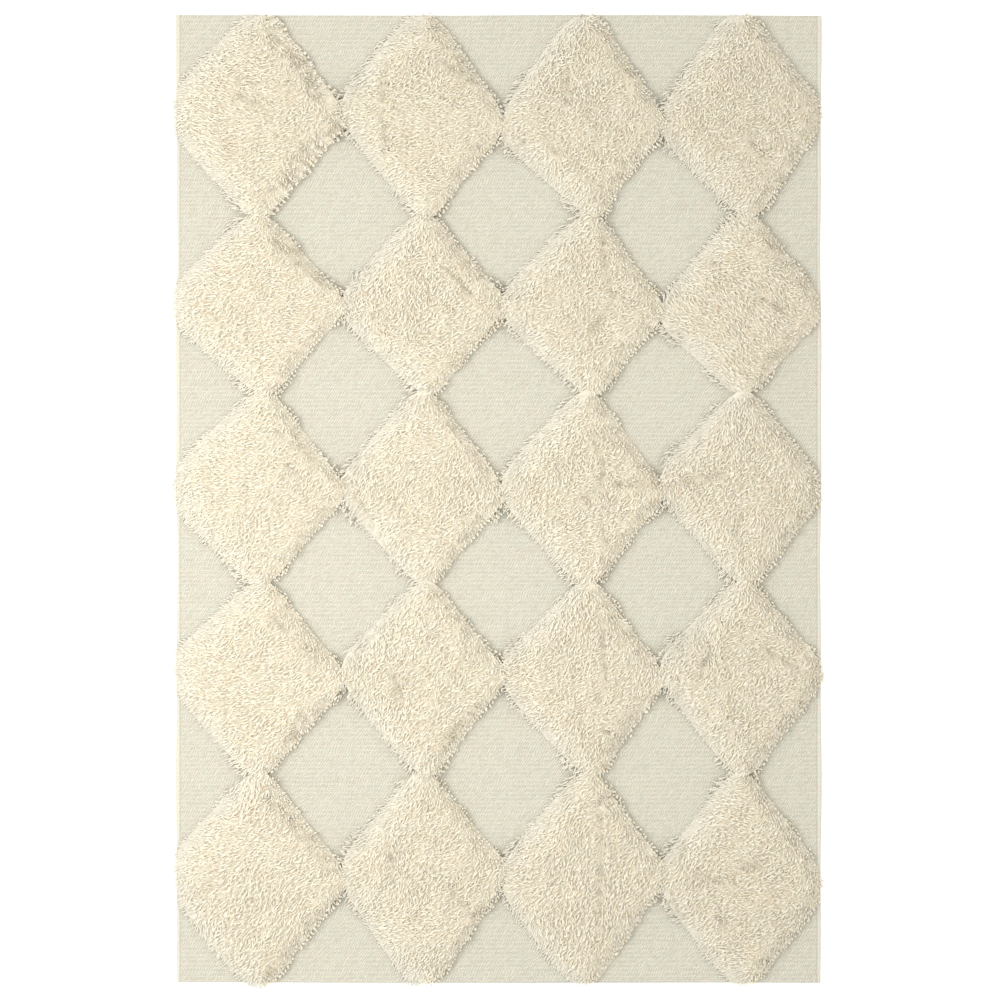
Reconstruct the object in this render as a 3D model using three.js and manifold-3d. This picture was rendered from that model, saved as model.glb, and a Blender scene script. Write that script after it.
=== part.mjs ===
// Wool rya rug, lying flat: a flat-woven ground with a lattice of raised shag diamonds.
// Millimetres. +X runs across the width, +Y along the length and +Z up from the floor.
// The origin is the middle of the underside.

import * as THREE from 'three';
import { mergeVertices } from 'three/addons/utils/BufferGeometryUtils.js';
import { ImprovedNoise } from 'three/addons/math/ImprovedNoise.js';
import Module from 'manifold-3d';

// The woven ground, a thick wool cloth with its own selvedges
const GROUND_WIDTH = 1600;
const GROUND_LENGTH = 2400;
const GROUND_THICKNESS = 5;
const EDGE_ROUNDING = 1.5;
const CORNER_RADIUS = 9;
const EDGE_WAVES = [
  { length: 900, height: 1.3 },
  { length: 390, height: 0.9 },
];

// The shag: its height over the ground, and the gap that keeps it a solid of its own
const PILE_HEIGHT = 29;
const PILE_CLEARANCE = 0.3;

// The lattice: the lines between its columns and between its rows, and the gap left on them
const COLUMN_EDGES = [-807, -381, 14, 409, 802];
const ROW_EDGES = [1204, 703, 263, -208, -681, -1208];
const SEAM = 2;

// How far each diamond's corners stray: top and foot to the right, left and right ones upwards
const CORNERS = [
  { row: 1, column: 1, top: 17, foot: 12, left: 0, right: -17 },
  { row: 1, column: 2, top: 4, foot: 14, left: 10, right: -27 },
  { row: 1, column: 3, top: 14, foot: 33, left: -35, right: -28 },
  { row: 1, column: 4, top: -6, foot: 21, left: -27, right: -10 },
  { row: 2, column: 1, top: 10, foot: 30, left: 2, right: -5 },
  { row: 2, column: 2, top: 6, foot: 20, left: -4, right: 0 },
  { row: 2, column: 3, top: 25, foot: 32, left: -2, right: -17 },
  { row: 2, column: 4, top: 12, foot: 5, left: -27, right: -10 },
  { row: 3, column: 1, top: 25, foot: 17, left: 0, right: -9 },
  { row: 3, column: 2, top: 6, foot: 11, left: 2, right: -17 },
  { row: 3, column: 3, top: 16, foot: 16, left: 0, right: -12 },
  { row: 3, column: 4, top: 7, foot: 15, left: 17, right: -5 },
  { row: 4, column: 1, top: 20, foot: 12, left: 20, right: 0 },
  { row: 4, column: 2, top: 14, foot: 16, left: 20, right: 7 },
  { row: 4, column: 3, top: 20, foot: 30, left: 14, right: 0 },
  { row: 4, column: 4, top: 5, foot: 5, left: 27, right: 15 },
  { row: 5, column: 1, top: 12, foot: 12, left: 19, right: 9 },
  { row: 5, column: 2, top: 2, foot: 2, left: 24, right: 30 },
  { row: 5, column: 3, top: 19, foot: 9, left: 7, right: 25 },
  { row: 5, column: 4, top: 0, foot: 12, left: 9, right: -4 },
];

// A diamond's outline: its sides would meet past its corners, which are cut off and rounded
const SIDE_REACH = 1.16;
const CORNER_TIGHTNESS = 14;
const RAGGED_RIM = 12;
const RAGGED_TEETH = 14;

// Its slab: steps along each side, the share of the height left at the rim, how late the top falls
// off to it, how much lower it lies on the left, and its large and small lumps
const SIDE_STEPS = 11;
const RIM_CROWDING = 0.6;
const RIM_SHARE = 0.42;
const SHOULDER = 6;
const UNDERCUT = 0.97;
const LEFT_SLOPE = 0.2;
const SLOPE_BEND = 3;
const LUMPS = [
  { size: 31, share: 0.22 },
  { size: 11, share: 0.24 },
];

// Locks that stick out of the rim: where on each side, by angle from the middle, and their size
const LOCK_SIDES = [
  { from: 24, to: 66, count: 3 },
  { from: 114, to: 156, count: 3 },
  { from: 204, to: 246, count: 3 },
  { from: 294, to: 336, count: 3 },
];
const LOCK = { length: 38, facets: 3, rootRadius: 9, tipRadius: 3, width: 2, rootHeight: 7, tipHeight: 2 };
const LOCK_REACH = 19;
const LOCK_REACH_AT_EDGE = 5;
const LOCK_TURN = 30;
const LOCK_SPREAD = 5;

// Points closer than this are one point, and bends flatter than this are flat
const SAME_POINT = 0.0001;
const FLAT_ENOUGH = 0.05;

const GROUND_COLOUR = '#e9e4d5';
const PILE_COLOUR = '#f1e6cb';
const WOOL_ROUGHNESS = 0.95;

const wasm = await Module();
wasm.setup();
const noise = new ImprovedNoise();
const { degToRad, lerp, seededRandom } = THREE.MathUtils;

function wool(colour) {
  return new THREE.MeshStandardMaterial({ color: colour, roughness: WOOL_ROUGHNESS, metalness: 0 });
}

// The ground: a slab whose four edges wander a little, as a loom leaves them

// The sides in order round the cloth, each with the point that lies s along it and w inside it
const GROUND_SIDES = [
  { half: GROUND_WIDTH / 2, steps: 8, at: (s, w) => [s, w - GROUND_LENGTH / 2] },
  { half: GROUND_LENGTH / 2, steps: 12, at: (s, w) => [GROUND_WIDTH / 2 - w, s] },
  { half: GROUND_WIDTH / 2, steps: 8, at: (s, w) => [-s, GROUND_LENGTH / 2 - w] },
  { half: GROUND_LENGTH / 2, steps: 12, at: (s, w) => [w - GROUND_WIDTH / 2, -s] },
];

function wander(along, side) {
  const sway = ({ length, height }) => height * Math.sin((2 * Math.PI * along) / length + side);
  return EDGE_WAVES.reduce((total, wave) => total + sway(wave), 0);
}

function edgePoint(side, share) {
  const { half, at } = GROUND_SIDES[side];
  const along = lerp(CORNER_RADIUS - half, half - CORNER_RADIUS, share);
  return at(along, wander(along, side));
}

function groundOutline() {
  const shape = new THREE.Shape();
  shape.moveTo(...edgePoint(0, 0));
  GROUND_SIDES.forEach(({ half, steps, at }, side) => {
    for (let step = 1; step <= steps; step += 1) shape.lineTo(...edgePoint(side, step / steps));
    const next = (side + 1) % GROUND_SIDES.length;
    shape.quadraticCurveTo(...at(half, 0), ...edgePoint(next, 0));
  });
  return shape;
}

function groundGeometry() {
  const geometry = new THREE.ExtrudeGeometry(groundOutline(), {
    depth: GROUND_THICKNESS - 2 * EDGE_ROUNDING,
    bevelThickness: EDGE_ROUNDING,
    bevelSize: EDGE_ROUNDING,
    bevelOffset: -EDGE_ROUNDING,
    bevelSegments: 1,
    curveSegments: 3,
  });
  return geometry.translate(0, 0, EDGE_ROUNDING);
}

// A shag diamond: a lumpy slab, lower towards its left-hand sides, with locks at its rim

function diamondOf({ row, column, ...corners }) {
  const [left, right] = COLUMN_EDGES.slice(column - 1);
  const [top, foot] = ROW_EDGES.slice(row - 1);
  return {
    name: `pile_r${row}_c${column}`,
    seed: 10 * row + column,
    x: (left + right) / 2,
    y: (top + foot) / 2,
    halfWidth: (right - left - SEAM) / 2,
    halfLength: (top - foot - SEAM) / 2,
    corners,
    freeTips: [
      { angle: 90, free: row === 1 },
      { angle: 180, free: column === 1 },
      { angle: 270, free: row === ROW_EDGES.length - 1 },
      { angle: 0, free: column === COLUMN_EDGES.length - 1 },
    ].filter(({ free }) => free).map(({ angle }) => angle),
  };
}

// Smooth noise, of another kind for each diamond
function unevenness(diamond, x, y) {
  return noise.noise(x, y, diamond.seed + 1 / 2);
}

// The even diamond cut off at its four edges, drawn as one smooth line
function rimRadius(diamond, angle) {
  const across = Math.abs(Math.cos(angle)) / diamond.halfWidth;
  const along = Math.abs(Math.sin(angle)) / diamond.halfLength;
  const limits = [across, along, (across + along) / SIDE_REACH];
  const sum = limits.reduce((total, limit) => total + limit ** CORNER_TIGHTNESS, 0);
  const atTip = 1 + SIDE_REACH ** -CORNER_TIGHTNESS;
  return (atTip / sum) ** (1 / CORNER_TIGHTNESS);
}

// How far the rim strays from that line, which it keeps at the four tips
function ragged(diamond, angle) {
  const [x, y] = [RAGGED_TEETH * Math.cos(angle), RAGGED_TEETH * Math.sin(angle)];
  return RAGGED_RIM * Math.abs(Math.sin(2 * angle)) * unevenness(diamond, x, y);
}

// Leans a point of the even diamond towards the corners that stray
function leaned(diamond, x, y) {
  const { top, foot, left, right } = diamond.corners;
  const across = (x / diamond.halfWidth) ** 2;
  const along = (y / diamond.halfLength) ** 2;
  return [x + (y > 0 ? top : foot) * along, y + (x < 0 ? left : right) * across];
}

function slabTop(diamond, out, angle, x, y) {
  const lump = ({ size, share }) => share * unevenness(diamond, x / size, y / size);
  const slope = LEFT_SLOPE * Math.max(0, -Math.cos(angle)) * out ** SLOPE_BEND;
  const even = 1 - (1 - RIM_SHARE) * out ** SHOULDER - slope;
  const share = even * LUMPS.reduce((total, lumps) => total + lump(lumps), 1);
  return PILE_CLEARANCE + share * (PILE_HEIGHT - PILE_CLEARANCE);
}

// A square block turned on its corner and drawn out to the diamond, ring by ring
function slabGeometry(diamond) {
  const geometry = new THREE.BoxGeometry(2, 2, 2, SIDE_STEPS, SIDE_STEPS, 1);
  const position = geometry.getAttribute('position');
  for (let i = 0; i < position.count; i += 1) {
    const [u, v, w] = [position.getX(i), position.getY(i), position.getZ(i)];
    const ring = Math.max(Math.abs(u), Math.abs(v));
    const out = lerp(ring, Math.sin((ring * Math.PI) / 2), RIM_CROWDING);
    const angle = Math.atan2(diamond.halfLength * (v - u), diamond.halfWidth * (u + v));
    const rim = rimRadius(diamond, angle) + ragged(diamond, angle);
    const radius = out * rim * (w > 0 ? 1 : UNDERCUT);
    const [x, y] = leaned(diamond, radius * Math.cos(angle), radius * Math.sin(angle));
    position.setXYZ(i, x, y, w > 0 ? slabTop(diamond, out, angle, x, y) : PILE_CLEARANCE);
  }
  return geometry;
}

function outwardAngle(diamond, angle) {
  const step = degToRad(1);
  const change = rimRadius(diamond, angle + step) - rimRadius(diamond, angle - step);
  return angle - Math.atan2(change, 2 * step * rimRadius(diamond, angle));
}

// A lock lies from inside the slab down and out over the ground, with a blunt, level tip
function lockGeometry(diamond, { angle, reach, turn }) {
  const { length, facets, rootRadius, tipRadius, width, rootHeight, tipHeight } = LOCK;
  const geometry = new THREE.CylinderGeometry(tipRadius, rootRadius, length, facets, 1);
  geometry.rotateZ(-Math.PI / 2).scale(1, width, 1);
  const position = geometry.getAttribute('position');
  for (let i = 0; i < position.count; i += 1) {
    const along = position.getX(i) / length + 0.5;
    position.setX(i, (along - 1) * length + reach);
    position.setZ(i, position.getZ(i) + lerp(rootHeight, tipHeight, along));
  }
  const radius = rimRadius(diamond, angle);
  const [x, y] = leaned(diamond, radius * Math.cos(angle), radius * Math.sin(angle));
  return geometry.rotateZ(outwardAngle(diamond, angle) + turn).translate(x, y, 0);
}

function locksOf(diamond) {
  const stray = (most) => degToRad(most) * (2 * seededRandom() - 1);
  seededRandom(diamond.seed);
  const onSides = LOCK_SIDES.flatMap(({ from, to, count }) => Array.from({ length: count }, (_, i) => ({
    angle: degToRad(lerp(from, to, i / (count - 1))) + stray(LOCK_SPREAD),
    reach: LOCK_REACH,
    turn: stray(LOCK_TURN),
  })));
  const atTips = diamond.freeTips.map((angle) => ({
    angle: degToRad(angle),
    reach: LOCK_REACH_AT_EDGE,
    turn: stray(LOCK_TURN),
  }));
  return [...onSides, ...atTips];
}

function asSolid(geometry) {
  geometry.deleteAttribute('normal');
  geometry.deleteAttribute('uv');
  const merged = mergeVertices(geometry, SAME_POINT);
  const triVerts = [];
  for (let i = 0; i < merged.index.count; i += 3) {
    const [a, b, c] = [0, 1, 2].map((k) => merged.index.getX(i + k));
    if (a !== b && b !== c && c !== a) triVerts.push(a, b, c);
  }
  return new wasm.Manifold(new wasm.Mesh({
    numProp: 3,
    vertProperties: new Float32Array(merged.getAttribute('position').array),
    triVerts: new Uint32Array(triVerts),
  }));
}

function asGeometry(solid) {
  const { vertProperties, triVerts } = solid.getMesh();
  const geometry = new THREE.BufferGeometry();
  geometry.setAttribute('position', new THREE.BufferAttribute(vertProperties, 3));
  geometry.setIndex(new THREE.BufferAttribute(triVerts, 1));
  geometry.computeVertexNormals();
  return geometry;
}

function diamondGeometry(diamond) {
  let solid = asSolid(slabGeometry(diamond));
  for (const lock of locksOf(diamond)) solid = solid.add(asSolid(lockGeometry(diamond, lock)));
  return asGeometry(solid.asOriginal().simplify(FLAT_ENOUGH));
}

const rug = new THREE.Group();

const ground = new THREE.Mesh(groundGeometry(), wool(GROUND_COLOUR));
ground.name = 'ground_weave';
rug.add(ground);

for (const diamond of CORNERS.map(diamondOf)) {
  const pile = new THREE.Mesh(diamondGeometry(diamond), wool(PILE_COLOUR));
  pile.name = diamond.name;
  pile.position.set(diamond.x, diamond.y, GROUND_THICKNESS);
  rug.add(pile);
}

export default rug;
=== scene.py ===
"""Wool rya rug: a flat-woven ground with a lattice of long-haired shag diamonds.

Metres. +X runs across the rug, +Y along it and +Z up from the floor. Each button in the sidebar makes
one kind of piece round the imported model, which gives every piece its place and its size.
"""

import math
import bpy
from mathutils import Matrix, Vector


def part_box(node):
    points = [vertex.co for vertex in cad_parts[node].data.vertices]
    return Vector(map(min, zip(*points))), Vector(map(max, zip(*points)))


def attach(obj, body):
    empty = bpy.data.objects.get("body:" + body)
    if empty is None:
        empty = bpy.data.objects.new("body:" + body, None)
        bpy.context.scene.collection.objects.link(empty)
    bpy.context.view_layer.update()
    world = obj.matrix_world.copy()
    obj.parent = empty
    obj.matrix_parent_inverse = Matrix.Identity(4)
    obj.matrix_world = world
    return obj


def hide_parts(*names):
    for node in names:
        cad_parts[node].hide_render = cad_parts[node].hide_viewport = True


bl_info = {
    "name": "Rya Rug",
    "version": (1, 0, 0),
    "blender": (4, 5, 0),
    "location": "View3D > Sidebar > Rya Rug",
    "description": "Weaves the ground of a rya rug, knots its shag diamonds and sets the studio",
    "category": "Object",
}

import bpy
import mathutils
import numpy as np

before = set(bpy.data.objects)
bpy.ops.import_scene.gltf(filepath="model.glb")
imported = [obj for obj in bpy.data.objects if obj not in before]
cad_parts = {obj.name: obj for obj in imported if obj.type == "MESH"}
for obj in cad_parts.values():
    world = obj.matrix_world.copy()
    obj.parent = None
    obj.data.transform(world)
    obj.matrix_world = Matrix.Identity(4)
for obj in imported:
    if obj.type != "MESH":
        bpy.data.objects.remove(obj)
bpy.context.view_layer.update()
BODY = "root"
GROUND_NODE = "ground_weave"
GROUND_LOW, GROUND_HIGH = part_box(GROUND_NODE)
GROUND_TOP = GROUND_HIGH.z
GROUND_SLOT = "wool_ground"
PILE_SLOT = "wool_pile"

ROWS = 5
COLUMNS = 4

# Each diamond, one by one. stray is how far its corners are out of place, in metres: top and foot to the
# right, left and right upwards. lean is where its locks point, in degrees from the right-hand side,
# and each parting is a line, in shares of the half width and half length, that locks fall away from.
# fingers is a depth for its furrows in place of FINGER_DEPTH, and wide is how many times broader than
# usual its right-hand rims and their fingers are.
DIAMONDS = {
    (1, 1): dict(stray=(0.017, 0.012, 0.0, -0.017), lean=190, fingers=0.6, wide=1.7,
                 partings=[[(-0.25, 0.2), (0.1, 0.05)]]),
    (1, 2): dict(stray=(0.004, 0.014, 0.01, -0.027), lean=215,
                 partings=[[(-0.45, 0.55), (-0.5, 0.1), (-0.46, -0.45)], [(0.25, 0.5), (0.6, 0.3)]]),
    (1, 3): dict(stray=(0.014, 0.033, -0.035, -0.028), lean=225,
                 partings=[[(-0.17, 0.4), (-0.22, 0.05)], [(-0.45, -0.25), (-0.3, -0.4)]]),
    (1, 4): dict(stray=(-0.006, 0.021, -0.027, -0.01), lean=232, partings=[[(0.1, -0.3), (0.3, -0.5)]]),
    (2, 1): dict(stray=(0.01, 0.03, 0.002, -0.005), lean=205,
                 partings=[[(0.2, 0.72), (0.75, 0.22)], [(0.36, 0.68), (0.6, 0.45)]]),
    (2, 2): dict(stray=(0.006, 0.02, -0.004, 0.0), lean=228,
                 partings=[[(-0.7, -0.05), (-0.56, -0.2), (-0.5, -0.45)], [(0.28, 0.42), (0.62, 0.1)]]),
    (2, 3): dict(stray=(0.025, 0.032, -0.002, -0.017), lean=215,
                 partings=[[(0.25, 0.72), (0.3, 0.35), (0.4, 0.05), (0.1, -0.3)]]),
    (2, 4): dict(stray=(0.012, 0.005, -0.027, -0.01), lean=160,
                 partings=[[(-0.4, 0.6), (-0.35, 0.45)], [(0.2, 0.1), (0.5, -0.1)]]),
    (3, 1): dict(stray=(0.025, 0.017, 0.0, -0.009), lean=208,
                 partings=[[(0.25, 0.6), (0.68, 0.3)], [(0.35, 0.25), (0.5, 0.12)]]),
    (3, 2): dict(stray=(0.006, 0.011, 0.002, -0.017), lean=222,
                 partings=[[(-0.95, 0.05), (-0.65, -0.3), (-0.5, -0.55)]]),
    (3, 3): dict(stray=(0.016, 0.016, 0.0, -0.012), lean=222,
                 partings=[[(0.12, 0.6), (0.28, 0.2), (0.2, -0.02), (-0.05, -0.12)],
                           [(0.45, 0.04), (0.98, 0.06)], [(0.25, -0.35), (0.3, -0.6)]]),
    (3, 4): dict(stray=(0.007, 0.015, 0.017, -0.005), lean=238,
                 partings=[[(-0.95, 0.04), (-0.6, 0.1), (-0.2, 0.15)]]),
    (4, 1): dict(stray=(0.02, 0.012, 0.02, 0.0), lean=200,
                 partings=[[(0.2, 0.65), (0.7, 0.2)], [(0.55, -0.3), (0.4, -0.62)]]),
    (4, 2): dict(stray=(0.014, 0.016, 0.02, 0.007), lean=230,
                 partings=[[(-0.4, 0.1), (-0.25, -0.2)], [(0.65, -0.3), (0.2, -0.72)]]),
    (4, 3): dict(stray=(0.02, 0.03, 0.014, 0.0), lean=222,
                 partings=[[(0.2, 0.75), (0.28, 0.3), (0.3, -0.1)], [(0.3, -0.55), (0.45, -0.75)]]),
    (4, 4): dict(stray=(0.005, 0.005, 0.027, 0.015), lean=212,
                 partings=[[(-0.55, 0.4), (-0.4, 0.3), (-0.5, 0.12)], [(0.3, 0.3), (0.7, 0.1)]]),
    (5, 1): dict(stray=(0.012, 0.012, 0.019, 0.009), lean=210,
                 partings=[[(0.12, 0.8), (0.5, 0.45), (0.85, 0.12)], [(0.1, -0.85), (0.3, -0.7)]]),
    (5, 2): dict(stray=(0.002, 0.002, 0.024, 0.03), lean=218,
                 partings=[[(-0.5, 0.55), (-0.4, 0.2)], [(0.3, 0.0), (0.6, -0.3)]]),
    (5, 3): dict(stray=(0.019, 0.009, 0.007, 0.025), lean=228,
                 partings=[[(0.22, 0.8), (0.24, 0.2), (0.2, -0.4)]]),
    (5, 4): dict(stray=(0.0, 0.012, 0.009, -0.004), lean=200,
                 partings=[[(0.0, 0.15), (0.25, 0.15)], [(-0.55, 0.1), (-0.1, -0.05)],
                           [(-0.35, -0.3), (-0.2, -0.4)]]),
}

# A diamond's outline: its sides would meet past its corners, which are cut off and rounded
LEFT_SIDE_REACH = 1.22
RIGHT_SIDE_REACH = 1.12
CORNER_TIGHTNESS = 14

# From this share of its half size on, a corner that runs into the next diamond is a neck: the shag is
# wider and higher there, in metres
NECK_START = 0.72
NECK_WIDER_BESIDE = 0.009
NECK_WIDER_AHEAD = (0.014, 0.005)
NECK_HIGHER_BESIDE = 0.017
NECK_HIGHER_AHEAD = 0.008
NECK_RIGHT_SHARE = 0.7
NECK_ROUNDING = 0.018

# The rise of the shag from its rims: its height there, how far in it is full, in metres, and the power
# that rounds it. It starts a little outside the rim, and left passes into right over the ridge.
LEFT_RISE = dict(base=0.0025, width=0.08, bulge=0.9)
RIGHT_RISE = dict(base=0.009, width=0.042, bulge=0.8)
RISE_START = 0.004
RIDGE_BLEND = 0.02

# Along its right-hand rims the shag falls in fingers: their width and length, in metres, and how deep
# the furrows between them are, as a share of the height
FINGER_PITCH = 0.0115
FINGER_LENGTH = 0.032
FINGER_DEPTH = 0.35

# How far from a parting, in metres, locks sway away from it, their tan roots of painted shade show and its
# valley reaches, and the depth of the valley as a share of the height
PARTING_SWAY = 0.018
PARTING_BARE = 0.011
PARTING_VALLEY = 0.003
PARTING_DEPTH = 0.24

# The unevenness of the shag: the width of each kind of wave in metres, its strength and its seed. Bays,
# nicks and bends are in metres, humps and lumps in shares of the height, turns in degrees, curls in
# shares of a lock's length and drift in fingers.
WAVES = {
    "rim bays": (0.045, 0.007, 1),
    "rim nicks": (0.016, 0.004, 2),
    "humps": (0.05, 0.13, 3),
    "lumps": (0.018, 0.1, 4),
    "parting bends": (0.02, 0.004, 5),
    "broad turns": (0.11, 34, 6),
    "small turns": (0.035, 24, 7),
    "curls": (0.02, 0.25, 10),
    "finger drift": (0.03, 0.5, 11),
}
TUFT_SEED = 8
NOISE_CELLS = 64

# How far in from the right-hand and the left-hand rims, in metres, each of these is changed by them, and
# how near the middle the way out and the two sides start to turn into each other
RIM_REACH = {
    "knots": (0.02, 0.035),
    "locks": (0.022, 0.035),
    "lean": (0.03, 0.035),
    "mound": (0.03, 0.035),
    "slope": (0.03, 0.05),
    "fading": (0.022, 0.06),
}
OUTWARD_EASE = 0.025
SIDE_BLEND = 0.01

# The slope of the shag, measured this far to each side, shades its locks by this share, and less at rims
SLOPE_STEP = 0.0035
SLOPE_SHADE = 0.8
LOST_AT_RIGHT = 0.3
LOST_AT_LEFT = 0.8

# The mound of wool under the locks. It keeps this far inside the free edges of the rug, and at joined
# corners it runs on under the seam.
MOUND_STEPS = 22
MOUND_DEPTH = 0.0085
MOUND_LEFT_REACH = 1.185
MOUND_RIGHT_REACH = 1.095
MOUND_MARGIN = 0.013
SEAM_LAP = 0.06

# How much closer the knots are in a row than from row to row, how far out of place they stray, as a
# share of that, and how far over a seam they may stand, in metres
ROW_CLOSENESS = 0.85
KNOT_STRAY = 0.45
SEAM_OVERLAP = 0.006

# Knots are added where spots are left bare, of this share of the knot spacing and this near the
# right-hand rims, with locks of this share of the usual reach
FILLINGS = ((0.95, -1.0), (0.7, 0.04))
FILLING_REACH = 0.45

# How the locks lean: their scatter in degrees, how far they swing out at the right-hand rims, the most
# degrees they turn the other way for it, and how strongly the rest pushes or pulls their tips
LEAN_SCATTER = 18
RIM_SWING = 0.7
OTHER_WAY = 60
PARTING_PUSH = 0.65
LEFT_RIM_PUSH = 0.6
TUFT_PULL = 0.45
FINGER_PULL = 0.8
CURL_SCATTER = 0.22

# The scatter of the locks' lengths and widths, as shares, and of their tips' heights, in metres, and how
# far inside the free edges of the rug the tips stay
LENGTH_SCATTER = (0.75, 1.2)
WIDTH_SCATTER = (0.8, 1.25)
TIP_SCATTER = (-0.0025, 0.001)
EDGE_MARGIN = 0.003

# A lock runs from its root through these rings to its tip: shares of its length and of its width.
# softness turns its shading from the lock's own roundness, at 0, to the shag's as a whole, at 1.
LOCK_RINGS = (0.42, 0.86)
LOCK_RING_WIDTHS = (1.0, 0.85)
LOCK_FACETS = 3
LOCK_SOFTNESS = 0.65
FADED_SOFTNESS = 0.95

# The long edges of the cloth stray by two sine waves, each with a height in metres, a rate and a start
EDGE_WAVES = ((0.0012, 7.0, 0.0), (0.0008, 17.0, 1.0))
FLOOR_DROP = 0.0005


class GroundSettings(bpy.types.PropertyGroup):
    """Sizes and colours of the woven ground"""

    rib_pitch: bpy.props.FloatProperty(
        name="Rib pitch", description="Distance from one weft rib to the next", default=0.0053, unit="LENGTH")
    rib_depth: bpy.props.FloatProperty(
        name="Rib depth", description="How far the valleys lie under the ribs", default=0.0005, unit="LENGTH")
    warp_pitch: bpy.props.FloatProperty(
        name="Warp pitch", description="Width of one repeat of the weave along a rib", default=0.0064,
        unit="LENGTH")
    colour: bpy.props.FloatVectorProperty(
        name="Colour", description="Undyed wool of the ground", default=(0.70, 0.67, 0.552), size=3,
        subtype="COLOR")
    # Painted shade: a darker colour mixed in where the weave lies low and in the selvedge groove
    crevice_shade: bpy.props.FloatVectorProperty(
        name="Crevice colour", description="Wool between the ribs", default=(0.43, 0.409, 0.332), size=3,
        subtype="COLOR")


class ShagSettings(bpy.types.PropertyGroup):
    """Sizes and colours of the knotted shag"""

    height: bpy.props.FloatProperty(
        name="Pile height", description="Height of the shag over the ground", default=0.027, unit="LENGTH")
    spacing: bpy.props.FloatProperty(
        name="Knot spacing", description="Distance between neighbouring locks", default=0.0059, unit="LENGTH")
    width: bpy.props.FloatProperty(
        name="Lock width", description="Width of a lock at its thickest", default=0.0029, unit="LENGTH")
    reach: bpy.props.FloatProperty(
        name="Lock reach", description="How far a lock leans over, from root to tip", default=0.0156,
        unit="LENGTH")
    clump: bpy.props.FloatProperty(
        name="Clump size", description="Distance between the tufts that locks gather in", default=0.017,
        unit="LENGTH")
    tip_colour: bpy.props.FloatVectorProperty(
        name="Tip colour", description="Wool at the tips of the locks", default=(0.93, 0.872, 0.722),
        size=3, subtype="COLOR")
    # Painted shade: the darker colour that stands for the shade deep between the locks, on their roots and on
    # the mound
    root_shade: bpy.props.FloatVectorProperty(
        name="Root colour", description="Wool deep between the locks", default=(0.74, 0.68, 0.55), size=3,
        subtype="COLOR")


class StudioSettings(bpy.types.PropertyGroup):
    """Floor, light and camera"""

    floor_size: bpy.props.FloatProperty(
        name="Floor size", description="Side of the square floor", default=16.0, unit="LENGTH")
    floor_colour: bpy.props.FloatVectorProperty(
        name="Floor colour", description="Plain floor", default=(0.96, 0.96, 0.96), size=3, subtype="COLOR")
    key_power: bpy.props.FloatProperty(
        name="Key power", description="Power of the large lamp on the left, in watts", default=155.0)
    top_power: bpy.props.FloatProperty(
        name="Top power", description="Power of the soft lamp overhead, in watts", default=8.6)
    fill: bpy.props.FloatProperty(
        name="Fill", description="Strength of the even light all round", default=1.025)
    lens: bpy.props.FloatProperty(
        name="Lens", description="Focal length of the camera, in millimetres", default=85.0)


def smoothstep(values):
    """Eases from 0 to 1."""
    values = np.clip(values, 0, 1)
    return values * values * (3 - 2 * values)


def columns(*parts):
    """Arrays side by side, as the columns of one."""
    return np.stack(parts, axis=-1)


def right_share(u, blend):
    """0 on the left of a diamond and 1 on its right, easing over blend to either side of the middle."""
    return smoothstep((u + blend) / (2 * blend))


def smooth_noise(x, y, size, seed):
    """Soft noise from -1 to 1 whose waves are about size wide."""
    table = np.random.default_rng(seed).uniform(-1, 1, (NOISE_CELLS, NOISE_CELLS))
    u, v = x / size, y / size
    i, j = np.floor(u).astype(int), np.floor(v).astype(int)
    s, t = smoothstep(u - i), smoothstep(v - j)

    def corner(right, up):
        return table[(i + right) % NOISE_CELLS, (j + up) % NOISE_CELLS]

    low = corner(0, 0) * (1 - s) + corner(1, 0) * s
    high = corner(0, 1) * (1 - s) + corner(1, 1) * s
    return low * (1 - t) + high * t


def new_mesh(name, points, faces, material, attributes=None, normals=None):
    """An object from arrays of points and of faces with the same number of corners each."""
    mesh = bpy.data.meshes.new(name)
    corners = faces.shape[1]
    mesh.vertices.add(len(points))
    mesh.vertices.foreach_set("co", points.astype(np.float32).ravel())
    mesh.loops.add(faces.size)
    mesh.loops.foreach_set("vertex_index", faces.astype(np.int32).ravel())
    mesh.polygons.add(len(faces))
    mesh.polygons.foreach_set("loop_start", np.arange(0, faces.size, corners, dtype=np.int32))
    mesh.polygons.foreach_set("use_smooth", np.ones(len(faces), bool))
    mesh.update(calc_edges=True)
    for key, values in (attributes or {}).items():
        mesh.attributes.new(key, "FLOAT", "POINT").data.foreach_set("value", values.astype(np.float32))
    if normals is not None:
        kept = mesh.attributes.new("custom_normal", "FLOAT_VECTOR", "POINT")
        kept.data.foreach_set("vector", normals.astype(np.float32).ravel())
    mesh.materials.append(material)
    piece = bpy.data.objects.new(name, mesh)
    bpy.context.scene.collection.objects.link(piece)
    return piece


def seat(piece, slot, *nodes):
    """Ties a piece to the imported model."""
    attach(piece, BODY)
    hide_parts(*nodes)


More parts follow.
